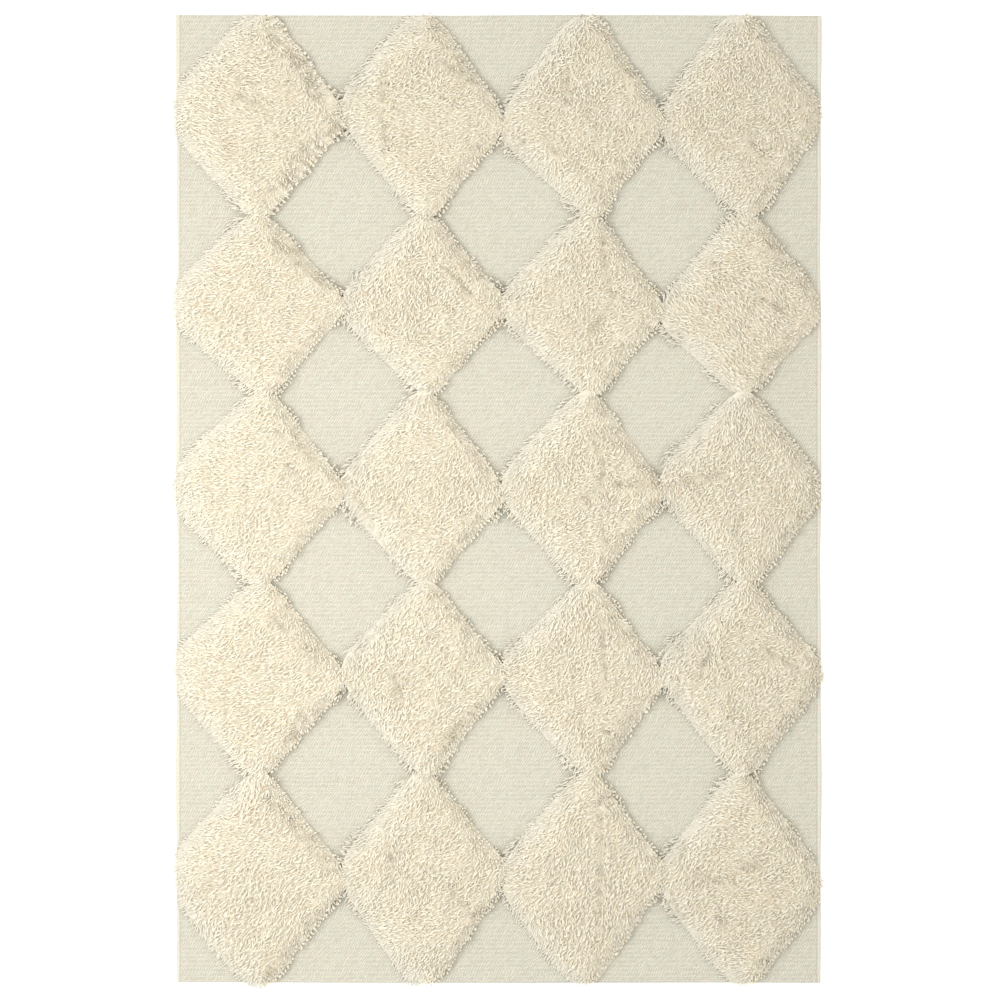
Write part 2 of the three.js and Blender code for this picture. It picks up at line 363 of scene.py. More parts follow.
class NodeBench:
    """Makes and joins shader nodes in one material."""

    def __init__(self, name):
        self.material = bpy.data.materials.new(name)
        self.material.use_nodes = True
        self.tree = self.material.node_tree
        self.shader = self.tree.nodes["Principled BSDF"]

    def feed(self, node, inputs):
        """Gives the inputs of a node, by name or by number, values or the outputs of other nodes."""
        for key, value in inputs.items():
            if isinstance(value, bpy.types.NodeSocket):
                self.tree.links.new(value, node.inputs[key])
            else:
                node.inputs[key].default_value = value

    def add(self, kind, inputs=None, **settings):
        node = self.tree.nodes.new(kind)
        for key, value in settings.items():
            setattr(node, key, value)
        self.feed(node, inputs or {})
        return node

    def math(self, operation, *values):
        return self.add("ShaderNodeMath", dict(enumerate(values)), operation=operation).outputs[0]

    def plus(self, first, second):
        return self.math("ADD", first, second)

    def minus(self, first, second):
        return self.math("SUBTRACT", first, second)

    def times(self, first, second):
        return self.math("MULTIPLY", first, second)

    def mix(self, share, first, second, blend="MIX"):
        """Mixes two colours. The colour sockets of this node share their names, so they go by number."""
        inputs = {0: share, 6: first, 7: second}
        return self.add("ShaderNodeMix", inputs, data_type="RGBA", blend_type=blend).outputs[2]

    def place(self):
        return self.add("ShaderNodeTexCoord").outputs["Object"]

    def noise(self, scale, detail=2.0, stretch=(1.0, 1.0, 1.0)):
        mapping = self.add("ShaderNodeMapping", {"Vector": self.place(), "Scale": stretch})
        inputs = {"Vector": mapping.outputs["Vector"], "Scale": scale, "Detail": detail}
        return self.add("ShaderNodeTexNoise", inputs).outputs["Fac"]

    def spread(self, value, low, high):
        """Stretches the part of value from low to high over 0 to 1."""
        inputs = {"Value": value, "From Min": low, "From Max": high}
        return self.add("ShaderNodeMapRange", inputs, interpolation_type="SMOOTHSTEP").outputs["Result"]

    def bump(self, height, distance, strength):
        node = self.add("ShaderNodeBump", {"Height": height, "Distance": distance, "Strength": strength})
        self.feed(self.shader, {"Normal": node.outputs["Normal"]})

    def wool(self, colour, roughness, sheen):
        self.feed(self.shader, {"Base Color": colour, "Roughness": roughness, "Sheen Weight": sheen,
                                "Sheen Roughness": 0.5, "Specular IOR Level": 0.2})
        return self.material


def shaded(colour, shares=1.0):
    """A colour with each channel multiplied, by one share or by a share for each."""
    return (*(min(1.0, value * share) for value, share in zip(colour, np.broadcast_to(shares, 3))), 1.0)


# How the weave drifts along and across the rug: the scale of each noise and how far it moves the weave,
# in ribs and stitches. Then how rows slip and stitches slant and stand out.
RIB_DRIFTS = ((14.0, 0.9), (75.0, 1.0))
STITCH_DRIFTS = ((23.0, 1.4), (90.0, 1.6))
ROW_SHUFFLE = 12.9898
ROW_SLIP = 0.45
STITCH_SLANT = 0.8
RIB_FULLNESS = 0.2
SUNKEN_ROWS = 0.3
WEAVE_RELIEF = 0.0005
PATCH_SHADE = (0.97, 0.975, 0.99)

# The selvedge, in metres in from the long edges: a groove, darkened with painted shade, and, outside it, a
# pale cord
GROOVE_PLACE = 0.0125
GROOVE_SHARPNESS = 520.0
CORD_INNER = 0.0115
CORD_OUTER = 0.0085


def weave_stitches(bench, place, settings):
    """The height of the weave: a rib is a row of small ovals, set over the gaps of the rows beside it."""
    rib = bench.math("DIVIDE", place["Y"], settings.rib_pitch)
    for scale, amount in RIB_DRIFTS:
        rib = bench.plus(rib, bench.times(bench.minus(bench.noise(scale), 0.5), amount))
    row = bench.math("FLOOR", rib)
    odd = bench.math("MODULO", bench.math("ABSOLUTE", row), 2.0)
    slip = bench.math("SINE", bench.times(row, ROW_SHUFFLE))
    along = bench.plus(bench.math("DIVIDE", place["X"], settings.warp_pitch), bench.times(odd, 0.5))
    along = bench.plus(along, bench.times(slip, ROW_SLIP))
    for scale, amount in STITCH_DRIFTS:
        along = bench.plus(along, bench.times(bench.noise(scale), amount))
    # Every stitch slants to the right as it rises
    along = bench.minus(along, bench.times(bench.math("FRACT", rib), STITCH_SLANT))
    stitch = bench.add("ShaderNodeCombineXYZ", {"X": bench.math("FLOOR", along), "Y": row})
    stitch = {"Vector": stitch.outputs["Vector"]}
    chance = bench.add("ShaderNodeTexWhiteNoise", stitch, noise_dimensions="2D").outputs["Value"]
    across_wave = bench.math("ABSOLUTE", bench.math("SINE", bench.times(rib, math.pi)))
    along_wave = bench.math("ABSOLUTE", bench.math("SINE", bench.times(along, math.pi)))
    across_wave = bench.math("POWER", across_wave, RIB_FULLNESS)
    # The stitches of every second row lie a little deeper, and no two stand equally high
    sunken = bench.minus(1.0, bench.times(odd, SUNKEN_ROWS))
    oval = bench.times(bench.times(across_wave, along_wave), sunken)
    standing = bench.plus(0.6, bench.times(chance, 0.6))
    fibre = bench.noise(420.0, 3.0, (1.0, 1.6, 1.0))
    return bench.plus(bench.times(oval, standing), bench.times(fibre, 0.5))


def with_selvedge(bench, place, colour, settings):
    """Draws the groove, as painted shade, and the pale cord of the selvedges into a colour."""
    from_edge = bench.minus(GROUND_HIGH.x, bench.math("ABSOLUTE", place["X"]))
    off_groove = bench.math("ABSOLUTE", bench.minus(from_edge, GROOVE_PLACE))
    groove_shade = bench.minus(1.0, bench.times(off_groove, GROOVE_SHARPNESS))
    groove_shade = bench.math("MAXIMUM", groove_shade, 0.0)
    cord = bench.spread(from_edge, CORD_INNER, CORD_OUTER)
    # Painted shade: the groove takes the crevice colour
    colour = bench.mix(bench.times(groove_shade, 0.55), colour, shaded(settings.crevice_shade))
    return bench.mix(bench.times(cord, 0.5), colour, shaded(settings.colour, 1.1))


def ground_wool(settings):
    """Undyed wool in a weft-faced plain weave, with faint streaks and patches and painted shade in its
    crevices.
    """
    bench = NodeBench("woven_ground_wool")
    place = bench.add("ShaderNodeSeparateXYZ", {0: bench.place()}).outputs
    weave = weave_stitches(bench, place, settings)
    streaks = bench.spread(bench.noise(5.0, 4.0, (1.0, 30.0, 1.0)), 0.35, 0.7)
    patches = bench.spread(bench.noise(3.0, 3.0), 0.3, 0.7)
    pale = bench.mix(bench.times(streaks, 0.4), shaded(settings.colour), shaded(settings.colour, 0.94))
    pale = bench.mix(bench.times(patches, 0.4), pale, shaded(settings.colour, PATCH_SHADE))
    # Painted shade: the lower the weave (between the ribs, in the deeper rows and at the lower stitches), the
    # nearer its colour comes to the crevice colour
    colour = bench.mix(bench.spread(weave, 0.1, 1.1), shaded(settings.crevice_shade), pale)
    colour = with_selvedge(bench, place, colour, settings)
    bench.bump(weave, WEAVE_RELIEF, 0.75)
    tinge = bench.spread(bench.noise(55.0), 0.35, 0.65)
    tinge = bench.mix(tinge, (1.0, 0.982, 0.98, 1.0), (0.98, 0.996, 1.0, 1.0))
    colour = bench.mix(1.0, colour, tinge, blend="MULTIPLY")
    return bench.wool(colour, 0.92, 0.15)


# The locks of another colour: between which chance values it comes in, how strongly, and the colour
TINTED_LOCKS = (
    (0.9, 0.96, 0.3, (0.90, 0.74, 0.62, 1.0)),
    (0.1, 0.04, 0.3, (0.80, 0.80, 0.56, 1.0)),
    (0.985, 0.99, 0.6, (0.66, 0.46, 0.28, 1.0)),
)
DEEP_SHADE = (0.89, 0.85, 0.77)
WARM_WOOL = (0.88, 0.74, 0.54, 1.0)
# The colour painted on the lit left-hand rims: painted light
LIT_RIM_WOOL = (0.71, 0.678, 0.57, 1.0)


def shag_wool(settings):
    """Long wool yarn: cream at the tip and tan towards the root as painted shade, with painted light on the
    lit left-hand rims, each lock its own.
    """
    bench = NodeBench("shag_wool")
    along, shade, tint, pale = (bench.add("ShaderNodeAttribute", attribute_name=name).outputs["Fac"]
                                for name in ("along", "shade", "tint", "pale"))
    strands = bench.spread(bench.noise(330.0, 3.0), 0.35, 0.65)
    # Painted shade: from the tip towards the root the colour darkens to the root colour
    root = bench.mix(strands, shaded(settings.root_shade, 0.78), shaded(settings.root_shade, 1.06))
    colour = bench.mix(bench.spread(along, 0.1, 0.65), root, shaded(settings.tip_colour))
    colour = bench.mix(bench.spread(shade, 0.3, 1.0), colour, shaded(settings.tip_colour, DEEP_SHADE))
    warm = bench.spread(bench.noise(26.0), 0.5, 0.75)
    colour = bench.mix(bench.times(warm, 0.2), colour, WARM_WOOL)
    for start, full, share, tinted in TINTED_LOCKS:
        colour = bench.mix(bench.times(bench.spread(tint, start, full), share), colour, tinted)
    # Painted light: the left-hand rims, which face the lamps, take a colour of their own set for the light
    # they catch
    colour = bench.mix(bench.times(pale, 0.85), colour, LIT_RIM_WOOL)
    bench.bump(bench.noise(700.0), 0.0006, 0.5)
    return bench.wool(colour, 0.85, 0.2)


def plain(name, colour, roughness=0.9):
    bench = NodeBench(name)
    tone = bench.mix(bench.times(bench.noise(3.0), 0.02), shaded(colour), shaded(colour, 0.98))
    bench.feed(bench.shader, {"Base Color": tone, "Roughness": roughness, "Specular IOR Level": 0.1})
    return bench.material


def cloth_edge(y):
    """How far the long edges stray outwards at each place along the rug."""
    return sum(height * np.sin(y * rate + start) for height, rate, start in EDGE_WAVES)


def weave_ground(settings):
    """One thin closed sheet whose top is drawn up into a rib for every weft row."""
    low, high = GROUND_LOW, GROUND_HIGH
    stray = 0.002
    ribs = round((high.y - low.y - 2 * stray) / settings.rib_pitch)
    lines = np.linspace(low.y + stray, high.y - stray, 2 * ribs + 1)
    half = (high.x - low.x) / 2 - stray
    middle = (high.x + low.x) / 2
    rounding = settings.rib_depth * 1.5
    strips = 10
    share = np.linspace(-1, 1, strips + 1)
    # A line close to each long edge keeps the roundness of the edge from shading the whole cloth
    edge_strip = 0.003
    share[[1, -2]] = np.array([-1, 1]) * (1 - edge_strip / half)
    # Each line crosses the cloth: the underside's edge, the side, the top and back down
    side_height = 0.55
    xs = np.concatenate([[-1, -1], share * (1 - rounding / half), [1, 1]])
    profile = np.concatenate([[0.0, side_height], np.ones(strips + 1), [side_height, 0.0]])
    y, x = np.meshgrid(lines, xs, indexing="ij")
    crest = np.arange(len(lines)) % 2 == 1
    top = np.where(crest, GROUND_TOP, GROUND_TOP - settings.rib_depth)[:, None]
    points_x = middle + x * (half + cloth_edge(y))
    # The ends of the cloth wave a little, which dies out quickly along the rug
    end_wave = 0.0011 * np.sin(x * 5.0) * np.abs(y / lines[-1]) ** 6
    points = columns(points_x, y + end_wave, top * profile[None, :]).reshape(-1, 3)
    per_line = len(xs)
    i, j = np.meshgrid(np.arange(len(lines) - 1), np.arange(per_line), indexing="ij")
    here, after = i * per_line + j, i * per_line + (j + 1) % per_line
    faces = columns(here, after, after + per_line, here + per_line).reshape(-1, 4)
    piece = new_mesh("woven_ground", points, faces, ground_wool(settings))
    close_ends(piece)
    return piece


def close_ends(piece):
    """Fills the open ends of the sheet and turns every face outwards."""
    bpy.context.view_layer.objects.active = piece
    piece.select_set(True)
    bpy.ops.object.mode_set(mode="EDIT")
    bpy.ops.mesh.select_all(action="SELECT")
    bpy.ops.mesh.fill_holes(sides=0)
    bpy.ops.mesh.normals_make_consistent(inside=False)
    bpy.ops.object.mode_set(mode="OBJECT")
    piece.select_set(False)


class Diamond:
    """One shag diamond: its outline, the height of its shag and the way its locks lie."""

    def __init__(self, row, column, shape):
        self.node = f"pile_r{row}_c{column}"
        self.name = f"shag_r{row}_c{column}"
        self.seed = 10 * row + column
        low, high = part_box(self.node)
        self.centre = np.array([(low.x + high.x) / 2, (low.y + high.y) / 2])
        self.half = np.array([(high.x - low.x) / 2, (high.y - low.y) / 2])
        self.top, self.foot, self.left, self.right = shape["stray"]
        self.pointing = shape["lean"]
        self.partings = shape["partings"]
        self.wide = shape.get("wide", 1.0)
        self.finger_pitch = FINGER_PITCH * self.wide
        self.finger_depth = shape.get("fingers", FINGER_DEPTH)
        self.free = {"left": column == 1, "right": column == COLUMNS, "top": row == 1, "foot": row == ROWS}
        self.rng = np.random.default_rng(self.seed)

    def waves(self, kind, x, y):
        """Soft unevenness of one of the kinds in WAVES."""
        width, strength, seed = WAVES[kind]
        return strength * smooth_noise(x, y, width, (self.seed, seed))

    def near_rim(self, kind, x, y):
        """How near the right-hand and left-hand rims are, from 0 to 1, and the way out over the nearest."""
        right_reach, left_reach = RIM_REACH[kind]
        inside = np.maximum(self.depth(x, y, seams=False), 0)
        u, v = self.straightened(x, y)
        beside, ahead = self.at_necks(u, v)
        outward = columns(np.tanh(u / OUTWARD_EASE) / self.half[0] * (1 - beside * (u < 0)),
                          np.tanh(v / OUTWARD_EASE) / self.half[1] * (1 - ahead))
        outward /= np.hypot(outward[:, 0], outward[:, 1])[:, None] + 1e-9
        right = right_share(u, SIDE_BLEND)
        at_right = np.exp(-((inside / (right_reach * self.wide)) ** 2)) * right
        at_left = np.exp(-((inside / left_reach) ** 2)) * (1 - right)
        return at_right, at_left, outward

    def at_necks(self, u, v):
        """How near the joined corners are, from 0 to 1: those to the sides, and those ahead and behind."""
        joined_x = np.where(u < 0, not self.free["left"], not self.free["right"])
        joined_y = np.where(v > 0, not self.free["top"], not self.free["foot"])
        return (joined_x * smoothstep((np.abs(u) / self.half[0] - NECK_START) / (1 - NECK_START)),
                joined_y * smoothstep((np.abs(v) / self.half[1] - NECK_START) / (1 - NECK_START)))

    def straightened(self, x, y):
        """Moves points of the diamond to where they would be if its corners didn't stray."""
        across, along = (x / self.half[0]) ** 2, (y / self.half[1]) ** 2
        return (x - np.where(y > 0, self.top, self.foot) * along,
                y - np.where(x < 0, self.left, self.right) * across)

    def depth(self, x, y, seams=True):
        """Distance inside the rim, or less than 0 outside. Without seams, joined corners count as open."""
        u, v = self.straightened(x, y)
        across, along = np.abs(u) / self.half[0], np.abs(v) / self.half[1]
        limits = [(across + along) / np.where(u < 0, LEFT_SIDE_REACH, RIGHT_SIDE_REACH)]
        if seams:
            limits += [across, along]
        else:
            limits += [across * np.where(u < 0, self.free["left"], self.free["right"]),
                       along * np.where(v > 0, self.free["top"], self.free["foot"])]
        reached = sum(limit**CORNER_TIGHTNESS for limit in limits) ** (1 / CORNER_TIGHTNESS)
        slope = LEFT_SIDE_REACH / math.hypot(*(1 / self.half))
        inside = (1 - reached) * slope + (self.waves("rim bays", x, y) + self.waves("rim nicks", x, y))
        if seams:
            return inside
        beside, ahead = self.at_necks(u, v)
        return inside + (np.where(u < 0, *NECK_WIDER_AHEAD) * ahead + NECK_WIDER_BESIDE * beside)

    def height(self, settings, x, y):
        """Top of the shag over the ground: a long slope on the left and a steep wall on the right."""
        inside = self.depth(x, y, seams=False)
        u, v = self.straightened(x, y)
        right = right_share(u, RIDGE_BLEND)
        beside, ahead = self.at_necks(u, v)
        neck = np.maximum(NECK_HIGHER_BESIDE * beside, NECK_HIGHER_AHEAD * ahead)
        neck = neck * smoothstep((inside + RISE_START) / NECK_ROUNDING)

        def risen(neck, base, width, bulge):
            base = base + neck
            return base + (settings.height - base) * smoothstep((inside + RISE_START) / width) ** bulge

        smooth = (risen(neck, **LEFT_RISE) * (1 - right)
                  + risen(NECK_RIGHT_SHARE * neck, **RIGHT_RISE) * right)
        lumps = 1 + self.waves("humps", x, y) + self.waves("lumps", x, y)
        furrows = np.exp(-((inside / (FINGER_LENGTH * self.wide)) ** 2)) * right
        furrows = furrows * np.abs(2 * self.fingers(x, y)[1]) ** 2
        valleys = 1 - PARTING_DEPTH * self.parting(x, y)[1]
        return smooth * lumps * valleys * (1 - self.finger_depth * furrows)

    def fingers(self, x, y):
        """The way along the nearest right-hand rim, and the place across a finger, from -0.5 to 0.5."""
        u, v = self.straightened(x, y)
        down_or_up = np.where(v > 0, -1, 1)
        flank = columns(down_or_up / self.half[1], np.full(len(x), 1 / self.half[0]))
        flank /= np.hypot(flank[:, 0], flank[:, 1])[:, None]
        phase = (u * flank[:, 0] + v * flank[:, 1]) / self.finger_pitch + self.waves("finger drift", x, y)
        return flank, phase - np.floor(phase) - 0.5

    def parting(self, x, y):
        """The way that locks fall beside the partings, the valley, how far they follow, and bare roots, where
        locks are shorter and the tan of painted shade shows.
        """
        fall = np.zeros((len(x), 2))
        valley, follow, bare = np.zeros(len(x)), np.zeros(len(x)), np.zeros(len(x))
        bends = self.waves("parting bends", x, y)
        for line in self.partings:
            ends = np.array(line) * self.half
            for start, end in zip(ends[:-1], ends[1:]):
                run = end - start
                offset = columns(x, y) - start
                over = np.clip(offset @ run / np.hypot(*run)**2, 0, 1)
                away = offset - over[:, None] * run
                distance = np.hypot(away[:, 0], away[:, 1]) + 1e-6
                near = np.exp(-((distance / PARTING_SWAY) ** 2))
                stronger = near > follow
                fall[stronger] = (away / distance[:, None])[stronger]
                follow = np.maximum(follow, near)
                valley = np.maximum(valley, np.exp(-(((distance + bends) / PARTING_VALLEY) ** 2)))
                bare = np.maximum(bare, np.exp(-((distance / PARTING_BARE) ** 2)))
        return fall, valley, follow, bare

    def held_back(self, x, y, margin):
        """Keeps places this far inside the free edges of the rug."""
        reach_x, reach_y = self.half - margin
        x = np.clip(x, -reach_x if self.free["left"] else -1, reach_x if self.free["right"] else 1)
        y = np.clip(y, -reach_y if self.free["foot"] else -1, reach_y if self.free["top"] else 1)
        return x, y

    def slope(self, settings, x, y):
        """Unit vectors square to the top of the shag."""
        rise_x = self.height(settings, x + SLOPE_STEP, y) - self.height(settings, x - SLOPE_STEP, y)
        rise_y = self.height(settings, x, y + SLOPE_STEP) - self.height(settings, x, y - SLOPE_STEP)
        rise = np.clip(columns(rise_x, rise_y) / (2 * SLOPE_STEP), -1.0, 1.0)
        at_right, at_left, _ = self.near_rim("slope", x, y)
        tilt = SLOPE_SHADE * (1 - LOST_AT_RIGHT * at_right - LOST_AT_LEFT * at_left)
        square = np.concatenate([-tilt[:, None] * rise, np.ones((len(x), 1))], axis=-1)
        return square / np.linalg.norm(square, axis=1)[:, None]

    def lean(self, settings, x, y):
        """Where each lock's tip lies from its root, as vectors over the ground."""
        turn = self.waves("broad turns", x, y) + self.waves("small turns", x, y)
        angle = self.pointing + turn + self.rng.normal(0, LEAN_SCATTER, len(x))
        at_right, at_left, outward = self.near_rim("lean", x, y)
        # Towards the right-hand rims the locks swing round, by way of straight down, until they point out
        swing = np.degrees(np.arctan2(outward[:, 1], outward[:, 0])) - angle
        swing = (swing + OTHER_WAY) % 360 - OTHER_WAY
        angle = np.radians(angle + min(1.0, RIM_SWING * self.wide) * at_right * swing)
        way = columns(np.cos(angle), np.sin(angle))
        fall, _, follow, bare = self.parting(x, y)
        way = way + PARTING_PUSH * follow[:, None] * fall + LEFT_RIM_PUSH * at_left[:, None] * outward
        way /= np.hypot(way[:, 0], way[:, 1])[:, None] + 1e-6
        # Locks are longer at the left-hand rims, and shorter at the right-hand ones and beside the partings
        reach = settings.reach * self.rng.uniform(*LENGTH_SCATTER, len(x))
        reach *= (1 + 0.3 * at_left - 0.5 / self.wide * at_right) * (1 - 0.5 * bare)
        return way * reach[:, None]


def roots_of(diamond, settings):
    """Knots in rows across the diamond, each a little out of place."""
    step_x, step_y = settings.spacing * ROW_CLOSENESS, settings.spacing / ROW_CLOSENESS
    half = diamond.half + 0.01
    rows = np.arange(-half[1], half[1], step_y)
    places = np.arange(-half[0], half[0], step_x)
    y, x = np.meshgrid(rows, places, indexing="ij")
    x = x + (np.arange(len(rows)) % 2)[:, None] * step_x / 2
    x = (x + diamond.rng.uniform(-KNOT_STRAY, KNOT_STRAY, x.shape) * step_x).ravel()
    y = (y + diamond.rng.uniform(-KNOT_STRAY, KNOT_STRAY, y.shape) * step_y).ravel()
    # Knots stay further in where their locks lean out over the rim
    angle = math.radians(diamond.pointing)
    at_right, _, outward = diamond.near_rim("knots", x, y)
    toward_rim = np.maximum(0, outward @ (math.cos(angle), math.sin(angle)))
    margin = 0.002 + 0.004 * toward_rim + 0.0015 * at_right
    keep = (diamond.depth(x, y, seams=False) > margin) & (diamond.depth(x, y) > -SEAM_OVERLAP)
    return x[keep], y[keep]


def bare_spots(diamond, cell, x, y, lean):
    """Places well inside the rim that no lock lies over yet, in a grid of cells."""
    low = -(diamond.half + 0.03)
    across, along = np.ceil(-2 * low / cell).astype(int)
    covered = np.zeros((across, along), bool)
    for share in np.linspace(0.2, 1.0, 9):
        i = ((x + share * lean[:, 0] - low[0]) / cell).astype(int)
        j = ((y + share * lean[:, 1] - low[1]) / cell).astype(int)
        covered[np.clip(i, 0, across - 1), np.clip(j, 0, along - 1)] = True
    i, j = np.nonzero(~covered)
    spot_x = low[0] + (i + diamond.rng.uniform(0.2, 0.8, len(i))) * cell
    spot_y = low[1] + (j + diamond.rng.uniform(0.2, 0.8, len(j))) * cell
    keep = (diamond.depth(spot_x, spot_y, seams=False) > 0.008) & (diamond.depth(spot_x, spot_y) > -0.003)
    return spot_x[keep], spot_y[keep]


def tuft_centres(seed, size, x, y):
    """The centre of the tuft that each root belongs to: the nearest of a scattered lattice of spots."""
    cell = np.floor(columns(x, y) / size).astype(int)
    jitter = np.random.default_rng(seed).uniform(0.1, 0.9, (NOISE_CELLS, NOISE_CELLS, 2))
    best = np.full(len(x), np.inf)
    centre = np.zeros((len(x), 2))
    for right in (-1, 0, 1):
        for up in (-1, 0, 1):
            there = cell + (right, up)
            spot = (there + jitter[there[:, 0] % NOISE_CELLS, there[:, 1] % NOISE_CELLS]) * size
            gap = np.hypot(spot[:, 0] - x, spot[:, 1] - y)
            nearer = gap < best
            best[nearer] = gap[nearer]
            centre[nearer] = spot[nearer]
    return centre


def gathered(diamond, settings, x, y, lean):
    """Draws the tips of the locks together in tufts, and in fingers along the right-hand rims."""
    at_right = diamond.near_rim("locks", x, y)[0]
    loose = tuft_centres((diamond.seed, TUFT_SEED), settings.clump, x, y) - columns(x, y)
    flank, aside = diamond.fingers(x, y)
    tight = -(aside * diamond.finger_pitch)[:, None] * flank
    return lean + TUFT_PULL * (1 - at_right)[:, None] * loose + FINGER_PULL * at_right[:, None] * tight


def sown(diamond, settings):
    """The roots of all the locks of a diamond, and where their tips lie from them."""
    x, y = roots_of(diamond, settings)
    lean = gathered(diamond, settings, x, y, diamond.lean(settings, x, y))
    for spot, least_right in FILLINGS:
        more_x, more_y = bare_spots(diamond, spot * settings.spacing, x, y, lean)
        wanted = diamond.near_rim("knots", more_x, more_y)[0] > least_right
        more_x, more_y = more_x[wanted], more_y[wanted]
        more_lean = diamond.lean(settings, more_x, more_y) * FILLING_REACH
        x, y, lean = np.append(x, more_x), np.append(y, more_y), np.concatenate([lean, more_lean])
    return x, y, lean


def lock_faces():
    """The corners of one lock's faces: a fan at its root, bands between its rings and a fan at its tip."""
    faces = []
    last = (len(LOCK_RINGS) - 1) * LOCK_FACETS
    for facet in range(LOCK_FACETS):
        here, beside = 1 + facet, 1 + (facet + 1) % LOCK_FACETS
        faces.append((0, beside, here))
        for up in range(0, last, LOCK_FACETS):
            faces.append((here + up, beside + up, beside + up + LOCK_FACETS))
            faces.append((here + up, beside + up + LOCK_FACETS, here + up + LOCK_FACETS))
        faces.append((here + last, beside + last, 1 + last + LOCK_FACETS))
    return np.array(faces)


def held_in(diamond, x, y, lean, at_left):
    """Shortens the locks whose tips would pass the rim, less evenly at the left-hand rims."""
    rng = diamond.rng
    tip_depth = diamond.depth(x + lean[:, 0], y + lean[:, 1], seams=False)
    stray = rng.uniform(-0.006, 0.009, len(x)) * at_left
    stray += rng.uniform(-0.001, 0.002, len(x)) * (1 - at_left)
    over = np.maximum(0, -tip_depth - stray)
    length = np.hypot(lean[:, 0], lean[:, 1]) + 1e-6
    return lean * np.clip(1 - over / length, 0.25, 1)[:, None]


def lock_bends(diamond, settings, x, y, lean, at_right):
    """The three points that draw the curve of each lock: its root, its bend and its tip."""
    count = len(x)
    tip_x, tip_y = diamond.held_back(x + lean[:, 0], y + lean[:, 1], EDGE_MARGIN)
    scatter = diamond.rng.uniform(*TIP_SCATTER, count)
    tip_z = np.maximum(diamond.height(settings, tip_x, tip_y) + scatter, 0.002)
    # Along the right-hand rims they arch over the edge and drop at their very tips
    arch = np.maximum(1.12 * diamond.height(settings, x, y) + scatter, tip_z + 0.001)
    share = 0.35 + 0.3 * at_right
    root = columns(x, y, np.full(count, 0.0005))
    bend = columns(x + share * lean[:, 0], y + share * lean[:, 1], arch)
    curl = diamond.rng.normal(0, CURL_SCATTER, count) + diamond.waves("curls", x, y)
    curl = curl * (1 - 0.6 * at_right)
    bend[:, :2] += columns(-lean[:, 1], lean[:, 0]) * curl[:, None]
    return root, bend, columns(tip_x, tip_y, tip_z)


def lock_rings(diamond, settings, bends, lean, at_right, at_left):
    """The points and normals of every lock: its root, its rings and its tip."""
    root, bend, tip = bends
    count = len(root)
    square = diamond.slope(settings, (root[:, 0] + tip[:, 0]) / 2, (root[:, 1] + tip[:, 1]) / 2)
    flat = lean / (np.hypot(lean[:, 0], lean[:, 1])[:, None] + 1e-9)
    side = columns(-flat[:, 1], flat[:, 0], np.zeros(count))
    # The radius of a three-sided ring as wide as the lock, thicker at the right-hand rims
    radius = settings.width / math.sqrt(3) * diamond.rng.uniform(*WIDTH_SCATTER, count)
    radius = radius * (1 + 0.35 * at_right - 0.2 * at_left)
    roll = diamond.rng.uniform(-0.5, 0.5, count)
    faded = diamond.near_rim("fading", root[:, 0], root[:, 1])[1]
    softness = (LOCK_SOFTNESS + (FADED_SOFTNESS - LOCK_SOFTNESS) * faded)[:, None]
    points, normals = [root], [square]
    for t, share in zip(LOCK_RINGS, LOCK_RING_WIDTHS):
        spot = (1 - t) ** 2 * root + 2 * t * (1 - t) * bend + t * t * tip
        ahead = 2 * (1 - t) * (bend - root) + 2 * t * (tip - bend)
        ahead /= np.linalg.norm(ahead, axis=1)[:, None] + 1e-9
        up = np.cross(ahead, side)
        for facet in range(LOCK_FACETS):
            turn = -math.pi / 2 + 2 * math.pi * facet / LOCK_FACETS + roll
            arm = side * np.cos(turn)[:, None] + up * np.sin(turn)[:, None]
            points.append(spot + arm * (radius * share)[:, None])
            normals.append(arm * (1 - softness) + square * softness)
    points.append(tip)
    normals.append(0.3 * ahead + square)
    points, normals = np.stack(points, axis=1), np.stack(normals, axis=1)
    points[:, :, 2] = np.maximum(points[:, :, 2], 0.0001)
    return points, normals / np.linalg.norm(normals, axis=2)[:, :, None]


def locks_of(diamond, settings):
    """Points, faces, normals and attributes of every lock of a diamond."""
    x, y, lean = sown(diamond, settings)
    count = len(x)
    at_right, at_left, _ = diamond.near_rim("locks", x, y)
    lean = held_in(diamond, x, y, lean, at_left)
    bends = lock_bends(diamond, settings, x, y, lean, at_right)
    points, normals = lock_rings(diamond, settings, bends, lean, at_right, at_left)
    per_lock = points.shape[1]
    faces = lock_faces()[None] + (np.arange(count) * per_lock)[:, None, None]
    # Beside the partings and between the fingers the tan of the roots, painted shade, reaches further up the
    # locks
    bare = diamond.parting(x, y)[3]
    furrow_shade = at_right * np.abs(2 * diamond.fingers(x, y)[1]) ** 3
    shaded_along_share = 1 - np.maximum(0.4 * bare, 0.5 * furrow_shade)
    attributes = {
        "along": np.outer(shaded_along_share, [0.0, *np.repeat(LOCK_RINGS, LOCK_FACETS), 1.0]).ravel(),
        "shade": np.repeat(diamond.rng.uniform(0, 1, count), per_lock),
        "tint": np.repeat(diamond.rng.uniform(0, 1, count), per_lock),
        # Painted light: how near the lit left-hand rims each lock is
        "pale": np.repeat(at_left, per_lock),
    }
    return points.reshape(-1, 3), faces.reshape(-1, 3), normals.reshape(-1, 3), attributes


